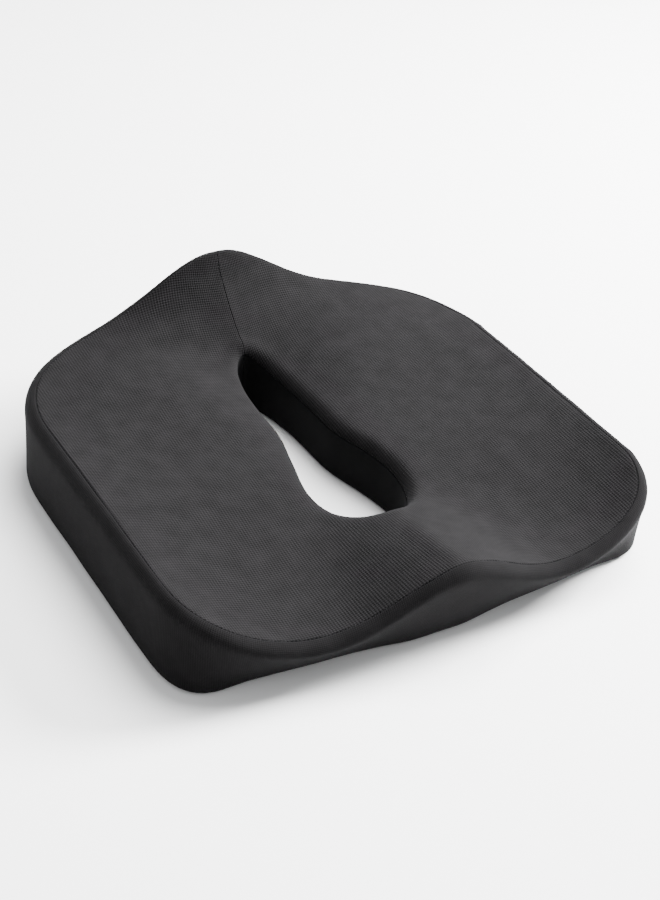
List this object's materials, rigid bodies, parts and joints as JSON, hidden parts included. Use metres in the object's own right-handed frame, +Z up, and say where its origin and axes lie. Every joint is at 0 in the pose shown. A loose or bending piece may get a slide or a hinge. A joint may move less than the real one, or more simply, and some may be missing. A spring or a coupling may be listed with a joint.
{
  "type": "seat cushion",
  "caption": "Contoured memory-foam seat cushion with a pear-shaped through hole, raised front hump and zipped charcoal knit cover.",
  "frame": {"origin": "middle of the underside, on the surface the cushion lies on", "axes": "+Z up; -Y is the front, with the hump between the thighs; the sitter's right is -X, where the zip is"},
  "size_m": [0.434, 0.415, 0.1286],
  "materials": {
    "knit_cloth": "charcoal ribbed polyester knit, matt with a soft sheen at grazing angles",
    "lining_cloth": "smooth black stretch lining",
    "nonslip_cloth": "black tricot with small silicone grip dots",
    "memory_foam": "off-white slow-recovery polyurethane foam with a moulded skin",
    "zip_tape": "black woven polyester tape",
    "nylon_coil": "black nylon coil",
    "zip_metal": "black enamelled zinc, semi-gloss"
  },
  "bodies": {
    "cushion": {"foam_core": "memory_foam", "cover_top_panel": "knit_cloth", "cover_band": "knit_cloth", "cover_zip_strip_upper": "knit_cloth", "cover_zip_strip_lower": "knit_cloth", "cover_tunnel_lining": "lining_cloth", "cover_base_panel": "nonslip_cloth", "zip_tape_upper": "zip_tape", "zip_tape_lower": "zip_tape", "zip_coil_upper": "nylon_coil", "zip_coil_lower": "nylon_coil", "zip_stop_front": "zip_metal", "zip_stop_rear_upper": "zip_metal", "zip_stop_rear_lower": "zip_metal"},
    "slider": {"zip_slider": "zip_metal"},
    "pull": {"zip_pull": "zip_metal"}
  },
  "joints": [
    {"name": "zip_slide", "type": "slide", "parent": "cushion", "child": "slider", "axis": [0, -1, 0], "range_m": [0, 0.198]},
    {"name": "pull_hinge", "type": "hinge", "parent": "slider", "child": "pull", "pos_m": [-0.2175, 0.1231, 0.036], "axis": [0, 0, -1], "range_deg": [0, 180]}
  ]
}
